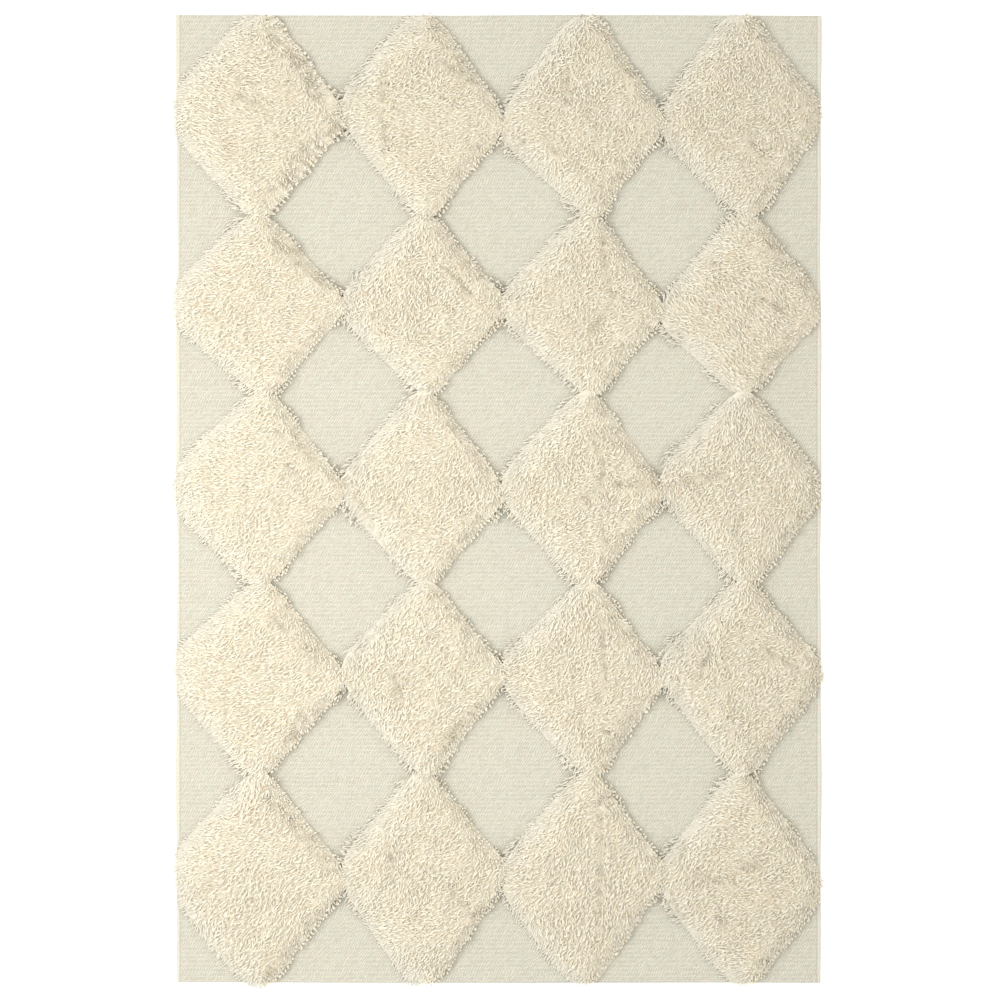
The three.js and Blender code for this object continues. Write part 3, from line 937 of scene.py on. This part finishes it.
def mound_grid(diamond):
    """A square grid of places drawn out to the diamond's outline, without the ragged edge of its locks."""
    share = np.linspace(-1, 1, MOUND_STEPS + 1)
    u, v = (grid.ravel() for grid in np.meshgrid(share, share, indexing="ij"))
    ring = np.maximum(np.abs(u), np.abs(v))
    angle = np.arctan2(diamond.half[1] * (v - u), diamond.half[0] * (u + v))
    way_x, way_y = np.cos(angle), np.sin(angle)
    across, along = np.abs(way_x) / diamond.half[0], np.abs(way_y) / diamond.half[1]
    reach = np.where(way_x < 0, MOUND_LEFT_REACH, MOUND_RIGHT_REACH)
    beside, ahead = diamond.at_necks(diamond.half[0] * np.sign(way_x), diamond.half[1] * np.sign(way_y))
    radius = ((across * (1 - SEAM_LAP * beside)) ** CORNER_TIGHTNESS
              + (along * (1 - SEAM_LAP * ahead)) ** CORNER_TIGHTNESS
              + ((across + along) / reach) ** CORNER_TIGHTNESS) ** (-1 / CORNER_TIGHTNESS)
    x, y = ring * radius * way_x, ring * radius * way_y
    x = x + np.where(y > 0, diamond.top, diamond.foot) * (y / diamond.half[1]) ** 2
    y = y + np.where(x < 0, diamond.left, diamond.right) * (x / diamond.half[0]) ** 2
    return diamond.held_back(x, y, MOUND_MARGIN)


def mound_of(diamond, settings):
    """A closed, lumpy mound of wool that the locks stand in."""
    x, y = mound_grid(diamond)
    height = diamond.height(settings, x, y)
    # Its right-hand side is drawn in under the locks, and near the rims it lies closer under their tops
    from_right = smoothstep((diamond.depth(x, y, seams=False) + RISE_START) / 0.01)
    drawn_in = np.where(x > 0, from_right, 1.0)
    at_right, at_left, _ = diamond.near_rim("mound", x, y)
    depth = MOUND_DEPTH * (1 - 0.5 * np.maximum(at_right, at_left))
    top = np.maximum(height - depth, 0.5 * height) * drawn_in
    upper = columns(x, y, np.maximum(top, 0.001))
    lower = upper * (1, 1, 0) + (0, 0, 0.0002)
    side = MOUND_STEPS + 1
    grid = np.arange(side * side).reshape(side, side)
    cells = columns(grid[:-1, :-1], grid[1:, :-1], grid[1:, 1:], grid[:-1, 1:]).reshape(-1, 4)
    rim = np.concatenate([grid[:-1, 0], grid[-1, :-1], grid[:0:-1, -1], grid[0, :0:-1]])
    after = np.roll(rim, -1)
    below = side * side
    walls = columns(rim + below, after + below, after, rim)
    quads = np.concatenate([cells, cells[:, ::-1] + below, walls])
    triangles = np.concatenate([quads[:, [0, 1, 2]], quads[:, [0, 2, 3]]])
    return np.concatenate([upper, lower]), triangles


def knot_diamond(diamond, settings, material):
    """One piece of the locks and the mound of a diamond."""
    points, faces, normals, attributes = locks_of(diamond, settings)
    mound_points, mound_faces = mound_of(diamond, settings)
    x, y = mound_points[:, 0], mound_points[:, 1]
    at_left = diamond.near_rim("mound", x, y)[1]
    # The mound takes the root colour, painted shade for the gaps between the locks, and towards the left-hand
    # rims the tip colour and the painted light of the lit rims
    mound = {"along": 0.15 + 0.5 * at_left, "shade": 0.5, "tint": 0.5, "pale": at_left}
    attributes = {key: np.append(values, np.zeros(len(mound_points)) + mound[key])
                  for key, values in attributes.items()}
    normals = np.concatenate([normals, diamond.slope(settings, x, y)])
    all_points = np.concatenate([points, mound_points]) + (*diamond.centre, GROUND_TOP)
    all_faces = np.concatenate([faces, mound_faces + len(points)])
    return new_mesh(diamond.name, all_points, all_faces, material, attributes, normals)


class RUG_OT_weave_ground(bpy.types.Operator):
    """Weave the flat ground of the rug, with a rib for each weft row"""

    bl_idname = "rug.weave_ground"
    bl_label = "Weave ground"

    def execute(self, context):
        piece = weave_ground(context.scene.rug_ground)
        seat(piece, GROUND_SLOT, GROUND_NODE)
        return {"FINISHED"}


class RUG_OT_knot_shag(bpy.types.Operator):
    """Knot the long-haired shag of all the diamonds into the ground"""

    bl_idname = "rug.knot_shag"
    bl_label = "Knot shag"

    def execute(self, context):
        settings = context.scene.rug_shag
        material = shag_wool(settings)
        for (row, column), shape in DIAMONDS.items():
            diamond = Diamond(row, column, shape)
            piece = knot_diamond(diamond, settings, material)
            seat(piece, PILE_SLOT, diamond.node)
        return {"FINISHED"}


class RUG_OT_set_studio(bpy.types.Operator):
    """Set the floor, the light and the camera"""

    bl_idname = "rug.set_studio"
    bl_label = "Set studio"

    def execute(self, context):
        settings = context.scene.rug_studio
        lay_floor(settings)
        light_studio(context.scene, settings)
        aim_camera(context.scene, settings)
        return {"FINISHED"}


def lay_floor(settings):
    """A plain square floor, just under the rug."""
    half = settings.floor_size / 2
    signs = ((-1, -1), (1, -1), (1, 1), (-1, 1))
    corners = np.array([(x * half, y * half, -FLOOR_DROP) for x, y in signs])
    material = plain("floor_paint", settings.floor_colour)
    material.node_tree.nodes["Principled BSDF"].inputs["Emission Strength"].default_value = 0.2
    floor = new_mesh("floor", corners, np.array([[0, 1, 2, 3]]), material)


def light_studio(scene, settings):
    """A large soft lamp to the upper left and even light all round."""
    world = bpy.data.worlds.new("studio")
    world.use_nodes = True
    world.node_tree.nodes["Background"].inputs["Color"].default_value = (1.0, 1.0, 1.0, 1.0)
    world.node_tree.nodes["Background"].inputs["Strength"].default_value = settings.fill
    scene.world = world
    hang_lamp(scene, "key", (-5.0, 0.6, 4.4), (0.0, 0.0, 0.0), 2.8, settings.key_power)
    hang_lamp(scene, "top", (-0.7, -0.15, 1.9), (-0.7, -0.15, 0.0), 1.2, settings.top_power)
    scene.view_settings.view_transform = "Standard"
    scene.view_settings.look = "None"
    scene.view_settings.exposure = 0.0
    scene.view_settings.gamma = 1.0


def hang_lamp(scene, name, place, target, size, power):
    """A square lamp that shines on a target and doesn't show itself."""
    light = bpy.data.lights.new(name, "AREA")
    light.shape = "SQUARE"
    light.size = size
    light.energy = power
    light.color = (1.0, 0.99, 0.97)
    lamp = bpy.data.objects.new(name, light)
    scene.collection.objects.link(lamp)
    lamp.location = place
    lamp.rotation_euler = (mathutils.Vector(target) - lamp.location).to_track_quat("-Z", "Y").to_euler()
    lamp.visible_camera = False


def aim_camera(scene, settings):
    """Straight above the rug, so far up that the picture is 2.48 m wide at the ground."""
    picture_width = 2.4806
    middle_x, middle_y = 0.0037, -0.0025
    lens = bpy.data.cameras.new("camera")
    lens.lens = settings.lens
    lens.sensor_width = 36.0
    camera = bpy.data.objects.new("camera", lens)
    scene.collection.objects.link(camera)
    camera.location = (middle_x, middle_y, GROUND_TOP + picture_width * settings.lens / lens.sensor_width)
    scene.camera = camera


class RUG_PT_panel(bpy.types.Panel):
    """Lists the steps that make the rug"""

    bl_idname = "RUG_PT_panel"
    bl_label = "Rya Rug"
    bl_space_type = "VIEW_3D"
    bl_region_type = "UI"
    bl_category = "Rya Rug"

    def draw(self, context):
        for operator, group in STEPS:
            self.layout.operator(operator.bl_idname)
            settings = getattr(context.scene, group)
            for key in settings.bl_rna.properties.keys():
                if key not in {"rna_type", "name"}:
                    self.layout.prop(settings, key)


STEPS = (
    (RUG_OT_weave_ground, "rug_ground"),
    (RUG_OT_knot_shag, "rug_shag"),
    (RUG_OT_set_studio, "rug_studio"),
)
GROUPS = {"rug_ground": GroundSettings, "rug_shag": ShagSettings, "rug_studio": StudioSettings}
CLASSES = (*GROUPS.values(), *(operator for operator, _ in STEPS), RUG_PT_panel)


def register():
    for made in CLASSES:
        bpy.utils.register_class(made)
    for name, group in GROUPS.items():
        setattr(bpy.types.Scene, name, bpy.props.PointerProperty(type=group))


def unregister():
    for name in GROUPS:
        delattr(bpy.types.Scene, name)
    for made in reversed(CLASSES):
        bpy.utils.unregister_class(made)


def main():
    register()
    for operator, _ in STEPS:
        family, name = operator.bl_idname.split(".")
        getattr(getattr(bpy.ops, family), name)()


if __name__ == "__main__":
    main()
